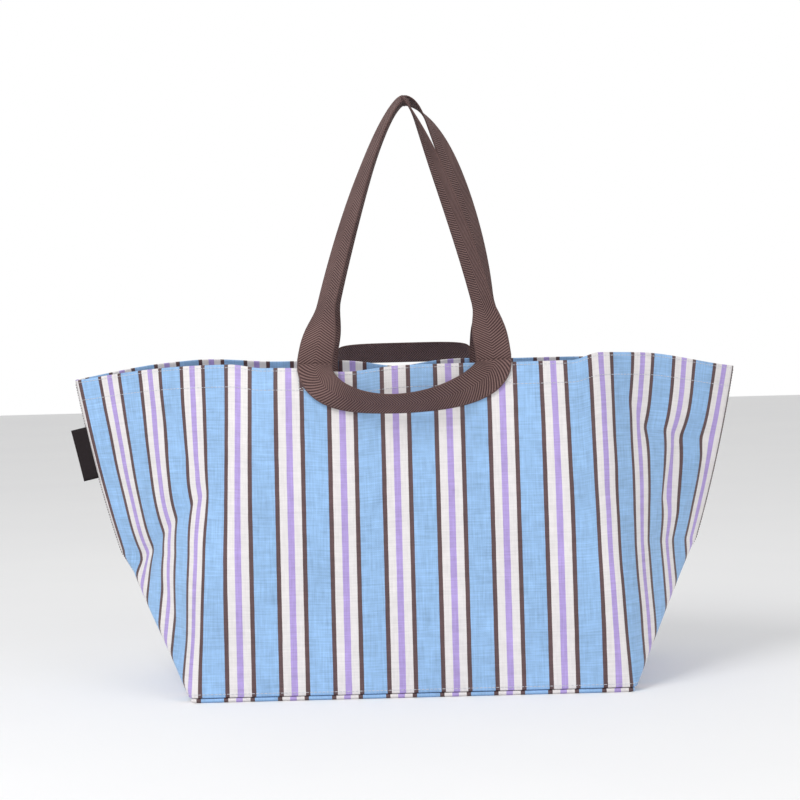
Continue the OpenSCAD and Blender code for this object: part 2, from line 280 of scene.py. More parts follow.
def srgb(r, g, b):
    """A colour given as 0 to 255 values on a screen, as the linear colour that shaders use."""
    def linear(c):
        c = c / 255
        return c / 12.92 if c <= 0.04045 else ((c + 0.055) / 1.055) ** 2.4

    return (linear(r), linear(g), linear(b), 1.0)


class Nodes:
    """A short way to write a material's node tree."""

    def __init__(self, name):
        self.material = bpy.data.materials.new(name)
        self.material.use_nodes = True
        self.tree = self.material.node_tree
        self.tree.nodes.clear()

    def add(self, kind, links=None, **settings):
        node = self.tree.nodes.new("ShaderNode" + kind)
        for key, value in settings.items():
            setattr(node, key, value)
        for key, value in (links or {}).items():
            socket = node.inputs[key]
            if isinstance(value, bpy.types.NodeSocket):
                self.tree.links.new(value, socket)
            else:
                socket.default_value = value
        return node

    def math(self, operation, a, b=0.0, c=0.0, clamp=False):
        node = self.add("Math", {0: a, 1: b, 2: c}, operation=operation, use_clamp=clamp)
        return node.outputs[0]

    def mix(self, factor, a, b, blend="MIX"):
        node = self.add("Mix", data_type="RGBA", blend_type=blend)
        for key, value in (("Factor", factor), ("A", a), ("B", b)):
            socket = next(s for s in node.inputs if s.name == key and (
                s.type == "RGBA" or key == "Factor" and s.type == "VALUE"))
            if isinstance(value, bpy.types.NodeSocket):
                self.tree.links.new(value, socket)
            else:
                socket.default_value = value
        return next(s for s in node.outputs if s.type == "RGBA")

    def noise(self, vector, scale, detail=2.0, roughness=0.5, stretch=None):
        if stretch:
            vector = self.add("Mapping", {"Vector": vector, "Scale": stretch}).outputs[0]
        return self.add("TexNoise", {"Vector": vector, "Scale": scale, "Detail": detail,
                                     "Roughness": roughness}).outputs["Fac"]

    def ramp(self, factor, stops, interpolation="LINEAR"):
        node = self.add("ValToRGB", {"Fac": factor})
        ramp = node.color_ramp
        ramp.interpolation = interpolation
        ramp.elements.remove(ramp.elements[-1])
        ramp.elements[0].position, ramp.elements[0].color = stops[0]
        for place, colour in stops[1:]:
            ramp.elements.new(place).color = colour
        return node.outputs["Color"]

    def finish(self, shader):
        self.add("OutputMaterial", {"Surface": shader})
        return self.material


# the stripes of the cloth, left to right: name, width in millimetres
BROWN = srgb(89, 66, 68)
WHITE = srgb(222, 218, 218)
LILAC = srgb(171, 151, 209)
BLUE = srgb(141, 179, 220)
STRIPES = [(4.6, BROWN), (23.9, BLUE), (4.6, BROWN), (8.3, WHITE), (6.7, LILAC), (8.3, WHITE)]
REPEAT = sum(width for width, _ in STRIPES)
WEAVE = 1.15


def woven_fabric(name, stripe_start):
    """Striped cloth woven of flat tape: stripes along the cloth, a fine weave, a slight gloss."""
    n = Nodes(name)
    uv = n.add("UVMap", uv_map="fabric").outputs["UV"]
    split = n.add("SeparateXYZ", {"Vector": uv})
    u, v = split.outputs["X"], split.outputs["Y"]
    wavy = n.noise(uv, 160.0, stretch=(1, 0.25, 1))
    wander = n.math("MULTIPLY", n.math("SUBTRACT", wavy, 0.5), 0.0006)
    past = n.math("ADD", n.math("SUBTRACT", u, stripe_start * MM), wander)
    place = n.math("FRACT", n.math("DIVIDE", past, REPEAT * MM))
    stops, at = [], 0.0
    for width, colour in STRIPES:
        stops.append((at / REPEAT, colour))
        at += width
    colour = n.ramp(place, stops, "CONSTANT")
    # tape shades: every tape has its own slight tone, along and across the cloth
    across = n.noise(uv, 620.0, 1.0, stretch=(1, 0.05, 1))
    along = n.noise(uv, 620.0, 1.0, stretch=(0.05, 1, 1))
    broad = n.noise(uv, 11.0, 3.0)
    middling = n.noise(uv, 90.0, 3.0, 0.6)
    tone = n.math("ADD", n.math("MULTIPLY", n.math("SUBTRACT", across, 0.5), 0.5),
                  n.math("MULTIPLY", n.math("SUBTRACT", along, 0.5), 0.6))
    tone = n.math("ADD", tone, n.math("MULTIPLY", n.math("SUBTRACT", broad, 0.5), 0.45))
    tone = n.math("ADD", tone, n.math("MULTIPLY", n.math("SUBTRACT", middling, 0.5), 0.45))
    # the tone shows in the colours, much less in the white
    pale = n.add("SeparateColor", {"Color": colour}).outputs["Red"]
    strength = n.math("SUBTRACT", 1.1, n.math("MULTIPLY", pale, 1.0))
    tone = n.math("ADD", n.math("MULTIPLY", tone, strength), 1.0)
    shade = n.add("CombineXYZ", {"X": tone, "Y": tone, "Z": tone}).outputs[0]
    colour = n.mix(1.0, colour, shade, "MULTIPLY")
    # plain weave relief
    wave_u = n.math("SINE", n.math("MULTIPLY", u, math.pi / (WEAVE * MM)))
    wave_v = n.math("SINE", n.math("MULTIPLY", v, math.pi / (WEAVE * MM)))
    weave = n.math("MULTIPLY", wave_u, wave_v)
    height = n.math("ADD", n.math("MULTIPLY", weave, 0.5), n.math("MULTIPLY", across, 0.8))
    height = n.math("ADD", height, n.math("MULTIPLY", along, 0.8))
    bump = n.add("Bump", {"Height": height, "Strength": 0.35, "Distance": 0.00025}).outputs[0]
    rough = n.math("ADD", n.math("MULTIPLY", n.noise(uv, 45.0, 3.0), 0.2), 0.36)
    shader = n.add("BsdfPrincipled", {"Base Color": colour, "Roughness": rough, "Normal": bump,
                                      "Specular IOR Level": 0.42})
    return n.finish(shader.outputs[0])


def webbing_material(name):
    """Herringbone webbing: slanted ribs that meet in a row of chevrons, with a firm selvedge."""
    n = Nodes(name)
    uv = n.add("UVMap", uv_map="fabric").outputs["UV"]
    split = n.add("SeparateXYZ", {"Vector": uv})
    along, across = split.outputs["X"], split.outputs["Y"]
    half = n.math("ABSOLUTE", across)
    slant = n.math("ADD", along, n.math("MULTIPLY", half, 0.62))
    rib = n.math("SINE", n.math("MULTIPLY", slant, 2 * math.pi / (2.9 * MM)))
    cord = n.math("SINE", n.math("MULTIPLY", across, 2 * math.pi / (0.95 * MM)))
    pick = n.math("SINE", n.math("MULTIPLY", along, 2 * math.pi / (0.8 * MM)))
    edge = n.math("GREATER_THAN", half, (WEB_W / 2 - 1.6) * MM)
    body = n.math("SUBTRACT", 1.0, edge)
    relief_here = n.math("MULTIPLY", n.math("ADD", n.math("MULTIPLY", rib, 0.5),
                                            n.math("MULTIPLY", cord, 0.2)), body)
    selvedge = n.math("MULTIPLY", n.math("MULTIPLY", pick, 0.5), edge)
    relief_here = n.math("ADD", relief_here, selvedge)
    fuzz = n.noise(uv, 900.0, 2.0)
    wear = n.noise(uv, 26.0, 3.0)
    light = n.math("ADD", n.math("MULTIPLY", relief_here, 0.75),
                   n.math("MULTIPLY", n.math("SUBTRACT", fuzz, 0.5), 0.45))
    light = n.math("ADD", light, n.math("MULTIPLY", n.math("SUBTRACT", wear, 0.5), 0.3))
    factor = n.math("ADD", light, 0.5, clamp=True)
    colour = n.ramp(factor, [(0.0, srgb(38, 24, 26)), (0.5, srgb(92, 69, 68)),
                             (1.0, srgb(142, 114, 108))])
    height = n.math("ADD", relief_here, n.math("MULTIPLY", fuzz, 0.5))
    bump = n.add("Bump", {"Height": height, "Strength": 0.7, "Distance": 0.0004}).outputs[0]
    rough = n.math("ADD", n.math("MULTIPLY", fuzz, 0.15), 0.72)
    shader = n.add("BsdfPrincipled", {"Base Color": colour, "Roughness": rough, "Normal": bump,
                                      "Specular IOR Level": 0.25})
    return n.finish(shader.outputs[0])


def thread_material(name, dark, pale):
    """Twisted sewing thread."""
    n = Nodes(name)
    place = n.add("TexCoord").outputs["Object"]
    twist = n.noise(place, 2600.0, 1.0)
    colour = n.ramp(twist, [(0.3, dark), (0.7, pale)])
    bump = n.add("Bump", {"Height": twist, "Strength": 0.4, "Distance": 0.0001}).outputs[0]
    shader = n.add("BsdfPrincipled", {"Base Color": colour, "Roughness": 0.5, "Normal": bump})
    return n.finish(shader.outputs[0])


def tape_material(name):
    """Ribbed binding tape, dark brown, with fine ribs across."""
    n = Nodes(name)
    place = n.add("TexCoord").outputs["Object"]
    split = n.add("SeparateXYZ", {"Vector": place})
    run = n.math("ADD", n.math("ADD", split.outputs["X"], split.outputs["Y"]), split.outputs["Z"])
    rib = n.math("SINE", n.math("MULTIPLY", run, 2 * math.pi / (1.1 * MM)))
    fuzz = n.noise(place, 900.0, 2.0)
    factor = n.math("ADD", n.math("MULTIPLY", rib, 0.3), fuzz, clamp=True)
    colour = n.ramp(factor, [(0.0, srgb(44, 34, 33)), (1.0, srgb(92, 74, 70))])
    bump = n.add("Bump", {"Height": rib, "Strength": 0.5, "Distance": 0.0002}).outputs[0]
    shader = n.add("BsdfPrincipled", {"Base Color": colour, "Roughness": 0.75, "Normal": bump})
    return n.finish(shader.outputs[0])


def label_material(name):
    """Satin woven label, nearly black, blank, with fine ribs."""
    n = Nodes(name)
    uv = n.add("UVMap", uv_map="fabric").outputs["UV"]
    split = n.add("SeparateXYZ", {"Vector": uv})
    rib = n.math("SINE", n.math("MULTIPLY", split.outputs["Y"], 2 * math.pi / (0.5 * MM)))
    fuzz = n.noise(uv, 1500.0, 2.0)
    factor = n.math("ADD", n.math("MULTIPLY", rib, 0.2), fuzz, clamp=True)
    colour = n.ramp(factor, [(0.0, srgb(12, 7, 9)), (1.0, srgb(36, 23, 26))])
    bump = n.add("Bump", {"Height": rib, "Strength": 0.4, "Distance": 0.0001}).outputs[0]
    shader = n.add("BsdfPrincipled", {"Base Color": colour, "Roughness": 0.65, "Normal": bump,
                                      "Specular IOR Level": 0.25})
    return n.finish(shader.outputs[0])


def floor_material(name):
    """A plain pale floor."""
    n = Nodes(name)
    place = n.add("TexCoord").outputs["Object"]
    colour = n.ramp(n.noise(place, 3.0, 4.0),
                    [(0.0, srgb(246, 246, 247)), (1.0, srgb(252, 252, 252))])
    shader = n.add("BsdfPrincipled", {"Base Color": colour, "Roughness": 0.8})
    return n.finish(shader.outputs[0])


STRIPE_FRONT = -393.6
STRIPE_BACK = -386.0
STRIPE_BASE = -226.0
front_cloth = woven_fabric("front_cloth", STRIPE_FRONT)
back_cloth = woven_fabric("back_cloth", STRIPE_BACK)
base_cloth = woven_fabric("base_cloth", STRIPE_BASE)
webbing = webbing_material("brown_webbing")
pale_thread = thread_material("pale_thread", srgb(170, 172, 178), srgb(228, 228, 232))
dark_thread = thread_material("dark_thread", srgb(36, 26, 26), srgb(78, 60, 58))
tape = tape_material("binding_tape")
label_cloth = label_material("label_cloth")


# ---- the two panels, each one sheet: tucked in at the base, up, and over into its hem ----

PANEL_COLS = 220
PANEL_ROWS = 96
TUCK_Z = 5.6


def panel_profile():
    """Rows of a panel from its tucked lower edge to the hem's lower edge: (height, out)."""
    half = FABRIC_T / 2
    rows = [(TUCK_Z - 0.5, -7.0), (TUCK_Z - 0.5, -2.4), (TUCK_Z - 0.2, -1.0)]
    rows += [(TUCK_Z + 0.6, -half)]
    rows += [(z, -half) for z in np.linspace(TUCK_Z + 3, RIM_H - 1.2, PANEL_ROWS)]
    fold_r = 0.85
    for angle in np.linspace(20, 180, 7):
        a = math.radians(angle)
        rows.append((RIM_H - fold_r + fold_r * math.sin(a),
                     -half - fold_r + fold_r * math.cos(a)))
    inside = -half - 2 * fold_r
    rows += [(z, inside) for z in np.linspace(RIM_H - 3, RIM_H - HEM_H, 8)]
    return rows


def panel_columns():
    inner = np.linspace(-HALF_LOOP, HALF_LOOP, PANEL_COLS)
    spare = np.array([3.0, 6.0, SEAM_ALLOWANCE])
    return np.concatenate([-HALF_LOOP - spare[::-1], inner, HALF_LOOP + spare])


def thicken(piece, thickness):
    """Gives a sheet its real thickness as real faces, half to each side."""
    solid = piece.modifiers.new("thickness", "SOLIDIFY")
    solid.thickness = thickness
    solid.offset = 0
    solid.use_even_offset = False
    bpy.context.view_layer.update()
    graph = bpy.context.evaluated_depsgraph_get()
    mesh = bpy.data.meshes.new_from_object(piece.evaluated_get(graph))
    old = piece.data
    piece.modifiers.clear()
    piece.data = mesh
    mesh.name = old.name
    bpy.data.meshes.remove(old)


def make_panel(side, material):
    profile = np.array(panel_profile())
    us = panel_columns()
    z, out = profile[:, 0][:, None], profile[:, 1][:, None]
    points = bag_at(us[None, :], z / RIM_H, out, side)
    steps = np.hypot(np.diff(profile[:, 0]), np.diff(profile[:, 1]))
    run = np.concatenate([[0], np.cumsum(steps)])
    uv = np.stack(np.broadcast_arrays(us[None, :], run[:, None]), -1) * MM
    rows, cols = points.shape[:2]
    piece = new_piece(side + "_panel_cloth", points.reshape(-1, 3),
                      grid_faces(rows, cols, flip=side == "back"), "bag",
                      [side + "_panel", side + "_rim_hem"], material, uv.reshape(-1, 2))
    thicken(piece, FABRIC_T * MM)
    return piece


# ---- the base: one sheet with its edge rolled up to the seam ----

BASE_CORNER_R = 7.0


def rounded_loop(width, depth, radius, per_side=40, per_corner=8):
    """Points round a rounded rectangle, the same number at every size."""
    points = []
    for k, (sx, sy) in enumerate([(1, 1), (-1, 1), (-1, -1), (1, -1)]):
        cx, cy = sx * (width / 2 - radius), sy * (depth / 2 - radius)
        for i in range(per_corner):
            a = math.radians(90 * k + 90 * i / (per_corner - 1))
            points.append((cx + radius * math.cos(a), cy + radius * math.sin(a)))
        ahead = [(1, 1), (-1, 1), (-1, -1), (1, -1)][(k + 1) % 4]
        a = math.radians(90 * (k + 1))
        start = np.array(points[-1])
        end = np.array([ahead[0] * (width / 2 - radius) + radius * math.cos(a),
                        ahead[1] * (depth / 2 - radius) + radius * math.sin(a)])
        for i in range(1, per_side):
            points.append(tuple(start + (end - start) * i / per_side))
    return np.array(points)


def make_base():
    half = FABRIC_T / 2
    profile = [(7.0, 4.0), (2.5, 4.0), (1.0, 3.8), (half, 3.0), (half + 0.2, 2.0), (1.3, 0.9),
               (2.6, half + 0.05)]
    profile += [(inset, half) for inset in (6.0, 14.0, 40.0, 80.0, 120.0, 158.0)]
    verts, uv = [], []
    for inset, z in profile:
        radius = max(BASE_CORNER_R - inset, 0.6)
        loop = rounded_loop(BASE_W - 2 * inset, BASE_D - 2 * inset, radius)
        for x, y in loop:
            lift = 0.25 * math.sin(x / 31.0) * math.sin(y / 43.0) if inset > 20 else 0.0
            verts.append((x * MM, y * MM, (z + max(lift, 0.0)) * MM))
            uv.append((x * MM, (y + (BASE_D / 2 if z > 1 else 0)) * MM))
    count = len(rounded_loop(100, 100, 5))
    faces = grid_faces(len(profile), count, wrap=True, flip=True)
    last = (len(profile) - 1) * count
    faces.append(tuple(range(last, last + count)))
    piece = new_piece("base_panel_cloth", verts, faces, "bag", ["base_panel"],
                      base_cloth, uv)
    thicken(piece, FABRIC_T * MM)
    return piece


# ---- bindings: tape folded over the seams' raw edges, inside ----


def side_binding(name, sign):
    """Tape folded over the two panels' turned-in edges, down one side seam."""
    rings = []
    for t in np.linspace(0.02, 0.985, 60):
        tip = bag_at(HALF_LOOP + SEAM_ALLOWANCE, t, 0, "front")[0] / MM
        z = bag_at(HALF_LOOP, t, 0, "front")[2] / MM
        x_near = tip + SEAM_ALLOWANCE - 3.4
        wave = 0.5 * math.sin(z / 17.0)
        half = 1.35
        section = [(x_near, half + 0.1), (tip - 0.8, half), (tip - 1.6, half * 0.5),
                   (tip - 1.8, 0), (tip - 1.6, -half * 0.5), (tip - 0.8, -half),
                   (x_near, -half - 0.1), (x_near, -0.95), (tip + 0.4, -0.9), (tip, -0.4),
                   (tip, 0.4), (tip + 0.4, 0.9), (x_near, 0.95), (x_near, half + 0.05)]
        rings.append([(sign * x * MM, (y + wave) * MM, z * MM) for x, y in section])
    verts = [p for ring in rings for p in ring]
    faces = grid_faces(len(rings), len(rings[0]), wrap=True, flip=sign < 0)
    m, last = len(rings[0]), (len(rings) - 1) * len(rings[0])
    pairs = [(k, 13 - k) for k in range(7)]
    for (a, d), (b, c) in zip(pairs, pairs[1:]):
        faces.append((a, b, c, d) if sign > 0 else (a, d, c, b))
        end = (last + a, last + d, last + c, last + b)
        faces.append(end if sign > 0 else end[::-1])
    return new_piece(name, verts, faces, "bag", [name_node(name)], tape)


def name_node(name):
    return name.replace("_tape", "_binding")


def base_binding():
    """Tape over the base seam's raw edge, flat on the base all the way round."""
    section = [(2.6, 4.6), (2.6, 5.9), (9.0, 6.1), (10.6, 5.6), (11.2, 4.6), (10.6, 3.4),
               (9.0, 2.9), (3.2, 3.0)]
    verts = []
    for inset, z in section:
        radius = max(BASE_CORNER_R - inset, 1.0)
        for x, y in rounded_loop(BASE_W - 2 * inset, BASE_D - 2 * inset, radius):
            verts.append((x * MM, y * MM, z * MM))
    count = len(rounded_loop(100, 100, 5))
    faces = grid_faces(len(section), count, wrap=True)
    last = (len(section) - 1) * count
    for i in range(count):
        j = (i + 1) % count
        faces.append((last + i, last + j, j, i))
    return new_piece("base_seam_tape", verts, faces, "bag",
                     ["base_seam_binding"], tape)


# ---- stitches: each one a small rounded bead of thread, dipped in at both ends ----

STITCH_SECTION = 6
# rings of one bead: (place along it, size, lift), from its first end to its second
STITCH_PROFILE = [(-0.5, 0.35, -0.5), (-0.36, 0.85, 0.1), (0.0, 1.0, 0.45), (0.36, 0.85, 0.1),
                  (0.5, 0.35, -0.5)]


def stitch_row(points, normals, stitch, gap, radius):
    """Beads along a line of points. Returns vertices and faces."""
    points, normals = np.asarray(points, float), np.asarray(normals, float)
    run = np.concatenate([[0], np.cumsum(np.linalg.norm(np.diff(points, axis=0), axis=1))])
    count = max(1, int(run[-1] / (stitch + gap)))
    pitch = run[-1] / count
    verts, faces = [], []
    for k in range(count):
        middle = (k + 0.5) * pitch
        ends = []
        for s in (middle - stitch / 2, middle + stitch / 2, middle):
            ends.append([np.interp(s, run, points[:, i]) for i in range(3)])
        a, b, c = np.array(ends)
        up = np.array([np.interp(middle, run, normals[:, i]) for i in range(3)])
        ahead = (b - a) / np.linalg.norm(b - a)
        up = up - ahead * (up @ ahead)
        up /= np.linalg.norm(up)
        side = np.cross(ahead, up)
        base = len(verts)
        for along, size, lift in STITCH_PROFILE:
            centre = c + ahead * along * stitch + up * lift * radius
            for i in range(STITCH_SECTION):
                w = 2 * math.pi * i / STITCH_SECTION
                verts.append(centre + radius * size * (side * math.cos(w) + up * math.sin(w)))
        rings = len(STITCH_PROFILE)
        faces += [tuple(base + v for v in f)
                  for f in grid_faces(rings, STITCH_SECTION, wrap=True, flip=True)]
        faces.append(tuple(base + i for i in range(STITCH_SECTION)))
        last = base + (rings - 1) * STITCH_SECTION
        faces.append(tuple(last + i for i in reversed(range(STITCH_SECTION))))
    return verts, faces


def fabric_line(path, side, out):
    """Points and outward normals along straight runs between fabric points (u, z)."""
    dense = []
    for (u0, z0), (u1, z1) in zip(path, path[1:]):
        steps = max(2, int(math.hypot(u1 - u0, z1 - z0) / 3))
        dense += [(u0 + (u1 - u0) * i / steps, z0 + (z1 - z0) * i / steps) for i in range(steps)]
    dense.append(path[-1])
    u, z = np.array(dense).T
    here = bag_at(u, z / RIM_H, out, side)
    outer = bag_at(u, z / RIM_H, out + 1.0, side)
    normal = outer - here
    return here, normal / np.linalg.norm(normal, axis=1)[:, None]


def stitched_piece(name, lines, body, nodes, material, stitch=3.4, gap=0.9, radius=0.3):
    verts, faces = [], []
    for points, normals in lines:
        v, f = stitch_row(points, normals, stitch * MM, gap * MM, radius * MM)
        faces += [tuple(len(verts) + i for i in face) for face in f]
        verts += v
    return new_piece(name, verts, faces, body, nodes, material)


HEM_LINE = RIM_H - HEM_H + 1.2
EDGE_LINE = RIM_H - 2.8
THREAD_OUT = 0.12
LINE_END = HALF_LOOP - 2.0


def rim_stitches(side):
    lines = [fabric_line([(-LINE_END, z), (LINE_END, z)], side, THREAD_OUT)
             for z in (HEM_LINE, EDGE_LINE)]
    inner = -2 * FABRIC_T - 1.4
    hem = fabric_line([(-LINE_END, HEM_LINE), (LINE_END, HEM_LINE)], side, inner)
    lines.append(flip_normals(hem))
    return stitched_piece(side + "_rim_thread", lines, "bag",
                          [side + "_rim_stitching"], pale_thread)


def flip_normals(line):
    return line[0], -line[1]


def box_stitches(side, x, name):
    """A sewn box with a cross in it, over one foot of the handles."""
    w, lo, hi = WEB_W / 2 - 1.0, HEM_LINE + 1.0, EDGE_LINE - 1.5
    paths = [[(x - w, lo), (x - w, hi)], [(x + w, lo), (x + w, hi)],
             [(x - w, lo + 0.8), (x + w, lo + 0.8)], [(x - w, hi), (x + w, hi)],
             [(x - w, lo), (x + w, hi)], [(x - w, hi), (x + w, lo)]]
    lines = [fabric_line(path, side, THREAD_OUT) for path in paths]
    return stitched_piece(name + "_thread", lines, "bag", [name + "_stitching"],
                          pale_thread, stitch=2.6, gap=0.7)


def seam_stitches(sign, name):
    """Dark stitches down the ridge of a side seam."""
    t = np.linspace(0.03, 0.99, 120)
    points = bag_at(sign * HALF_LOOP, t, 0, "front")
    points[:, 1] = 0
    points[:, 0] += sign * 0.15 * MM
    normals = np.tile([float(sign), 0.0, 0.2], (len(t), 1))
    return stitched_piece(name + "_thread", [(points, normals)], "bag",
                          [name + "_stitching"], dark_thread, stitch=1.9, gap=1.0, radius=0.38)


def base_stitches():
    lines = [fabric_line([(-LINE_END, TUCK_Z + 3), (LINE_END, TUCK_Z + 3)], side, THREAD_OUT)
             for side in ("front", "back")]
    return stitched_piece("base_seam_thread", lines, "bag", ["base_seam_stitching"],
                          pale_thread)


# ---- webbing handles ----


def unit(v):
    return v / np.linalg.norm(v)


def web_section():
    """The outline of the webbing, as (across, up) pairs: flat faces and rounded edges."""
    half, thick = WEB_W / 2, WEB_T / 2
    top = [(x, thick) for x in np.linspace(half - thick, -half + thick, 13)]
    left = [(-half + thick - thick * math.sin(a), thick * math.cos(a))
            for a in np.radians([45, 90, 135])]
    return top + left + [(-x, -y) for x, y in top] + [(-x, -y) for x, y in left]


def make_strap(name, stations, nodes):
    """Webbing along stations of (middle, width direction), in millimetres."""
    middles = np.array([s[0] for s in stations])
    run = np.concatenate([[0], np.cumsum(np.linalg.norm(np.diff(middles, axis=0), axis=1))])
    section = web_section()
    verts, uv = [], []
    for i, (middle, wide) in enumerate(stations):
        ahead = unit(middles[min(i + 1, len(middles) - 1)] - middles[max(i - 1, 0)])
        wide = unit(wide)
        up = unit(np.cross(wide, ahead))
        for x, y in section:
            verts.append((middle + wide * x + up * y) * MM)
            uv.append((run[i] * MM, x * MM))
    m, n = len(section), len(stations)
    faces = grid_faces(n, m, wrap=True)
    last = (n - 1) * m
    faces.append(tuple(reversed(range(m))))
    faces.append(tuple(range(last, last + m)))
    return new_piece(name, verts, faces, None, nodes, webbing, uv)


def bezier(p, s):
    p = [np.array(q, float) for q in p]
    near = (1 - s) ** 3 * p[0] + 3 * s * (1 - s) ** 2 * p[1]
    return near + 3 * s * s * (1 - s) * p[2] + s**3 * p[3]


long_hinge = hinge("long_handle_front_flop")
LONG_Y, LONG_Z = -long_hinge[1], long_hinge[2]
APEX_X = 6.6
APEX_TILT = 0.24
APEX_Z = 634.0
APEX_Y = WEB_W / 2 + 0.5
APEX = (APEX_X, APEX_Z)
RIGHT_FOOT = (FOOT_X, LONG_Z)
LEFT_LEG = [(-FOOT_X, LONG_Z), (-FOOT_X + 16.5, LONG_Z + 86), (APEX_X - 30, APEX_Z - 9), APEX]
RIGHT_LEG = {
    "front": [APEX, (APEX_X + 8, APEX_Z - 4.5), (FOOT_X - 10.5, LONG_Z + 98), RIGHT_FOOT],
    "back": [APEX, (APEX_X + 33, APEX_Z + 1), (FOOT_X + 9.5, LONG_Z + 116), RIGHT_FOOT],
}
LONG_STATIONS = 110
SEWN_STEPS = 6


FOOT_TURN = 58.0
FOOT_STRAIGHT = 4.0
FOOT_TURN_H = 55.0
LEG_LATE = 3
RIGHT_LATE = {"front": LEG_LATE, "back": 10}


def long_turn(z, late):
    """How far the webbing has turned, in degrees, from along the rim at its feet to fore and aft."""
    rise = (z - LONG_Z) / (APEX_Z - LONG_Z)
    start = LONG_Z + FOOT_STRAIGHT
    at_foot = FOOT_TURN * smooth(z, start, start + FOOT_TURN_H)
    return at_foot + (90 - FOOT_TURN) * max(rise, 0) ** late


def long_stations(side):
    """A long handle at the front: a sewn end, up over the rim, the loop, and down to the other end."""
    foot_z = RIM_H - HEM_H + 1.5
    rise = []
    for i in range(SEWN_STEPS):
        z = foot_z + (LONG_Z - foot_z) * i / SEWN_STEPS
        rise.append(np.array([-FOOT_X, -(fold_y(z / RIM_H) - 5.0), z]))
    stations = [(p, np.array([1.0, 0, 0])) for p in rise]
    for i in range(LONG_STATIONS + 1):
        s = i / LONG_STATIONS
        x, z = bezier(LEFT_LEG, 2 * s) if s < 0.5 else bezier(RIGHT_LEG[side], 2 * s - 1)
        up = (z - LONG_Z) / (APEX_Z - LONG_Z)
        middle = np.array([x, -LONG_Y + (LONG_Y - APEX_Y) * up, z])
        turn = math.radians(long_turn(z, LEG_LATE if s < 0.5 else RIGHT_LATE[side]))
        tilt = APEX_TILT * math.sin(turn) * smooth(np.array(up), 0.7, 1.0)
        stations.append((middle, np.array([math.cos(turn), -math.sin(turn), -tilt])))
    stations += [(p * np.array([-1, 1, 1]), np.array([1.0, 0, 0])) for p in reversed(rise)]
    # the width stays square to the run of the webbing, except at the sewn feet
    squared = []
    for i, (middle, wide) in enumerate(stations):
        after, before = stations[min(i + 1, len(stations) - 1)], stations[max(i - 1, 0)]
        ahead = unit(after[0] - before[0])
        away = min(i - SEWN_STEPS, len(stations) - 1 - SEWN_STEPS - i) / 12
        wide = wide - min(1, max(0, away)) * (wide @ ahead) * ahead
        squared.append((middle, unit(wide)))
    return squared


short_hinge = hinge("short_handle_front_lift")
SHORT_Y, SHORT_Z = -short_hinge[1], short_hinge[2]
SHORT_DROP = 41.0
SHORT_REACH = 28.0
SHORT_TWIST = {"front": -90.0, "back": -42.0}
SHORT_TWIST_POWER = {"front": 1.0, "back": 0.7}
SHORT_SQUARE = {"front": 1.0, "back": 0.5}
SHORT_SKEW = {"front": -12.0, "back": 0.0}
SHORT_LIFT = {"front": 0.0, "back": 60.0}
OVER_R = 2.6
SHORT_STATIONS = 70


def short_loop(side):
    """The loop of a short handle at the front, from its hinge: hanging, or lifted by an angle."""
    down = unit(np.array([0, -SHORT_REACH, -SHORT_DROP]))
    size = math.hypot(SHORT_REACH, SHORT_DROP)
    face = np.array([0, down[2], -down[1]])
    square = SHORT_SQUARE[side]
    a = np.pi * np.arange(SHORT_STATIONS + 1) / SHORT_STATIONS
    x = -FOOT_X * np.sign(np.cos(a)) * np.abs(np.cos(a)) ** square
    x = x + SHORT_SKEW[side] * np.sin(a) ** 2
    drop = size * np.abs(np.sin(a)) ** square
    middles = np.stack([x, down[1] * drop, down[2] * drop], -1)
    tx, td = np.gradient(x), np.gradient(drop)
    tx[0] = tx[-1] = 0
    twist = np.radians(SHORT_TWIST[side]) * np.abs(np.sin(a)) ** SHORT_TWIST_POWER[side]
    turn = np.array(Matrix.Rotation(-math.radians(SHORT_LIFT[side]), 3, "X"))
    pivot = np.array([0, -SHORT_Y, SHORT_Z])
    stations = []
    for i, middle in enumerate(middles):
        along = unit(np.array([tx[i], td[i]]))
        in_plane = np.array([along[1], 0, 0]) - along[0] * down
        wide = in_plane * math.cos(twist[i]) - face * math.sin(twist[i])
        stations.append((pivot + turn @ middle, turn @ wide))
    return stations


def short_stations(side):
    foot_z = RIM_H - HEM_H + 1.5
    over_y, over_z = MOUTH_D / 2 - 0.6, RIM_H + 0.2
    rise = [np.array([-FOOT_X, -(fold_y(z / RIM_H) - 3.2), z])
            for z in np.linspace(foot_z, RIM_H - 2, 5)]
    for angle in np.linspace(-80, 40, 8):
        a = math.radians(angle)
        rise.append(np.array([-FOOT_X, -over_y - OVER_R * math.sin(a),
                              over_z + OVER_R * math.cos(a)]))
    stations = [(p, np.array([1.0, 0, 0])) for p in rise]
    stations += short_loop(side)
    stations += [(p * np.array([-1, 1, 1]), np.array([-1.0, 0, 0])) for p in reversed(rise)]
    return stations


def mirrored(stations):
    """The same webbing at the back. The width turns about so that the section stays the right way out."""
    flip = np.array([1.0, -1.0, 1.0])
    return [(p * flip, -(w * flip)) for p, w in stations]


def make_handles():
    for side, sign in (("front", -1), ("back", 1)):
        stations = long_stations(side)
        if sign > 0:
            stations = mirrored(stations)
        name = "long_handle_" + side
        strap = make_strap(name + "_webbing", stations, [name, name + "_ends"])
        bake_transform(strap)
        stations = short_stations(side)
        if sign > 0:
            stations = mirrored(stations)
        name = "short_handle_" + side
        strap = make_strap(name + "_webbing", stations, [name, name + "_ends"])
        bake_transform(strap)


# ---- side label: a folded strip of woven ribbon, caught in the left seam ----

LABEL_W = 15.0
LABEL_LEN = 58.0
LABEL_Z = 224.0


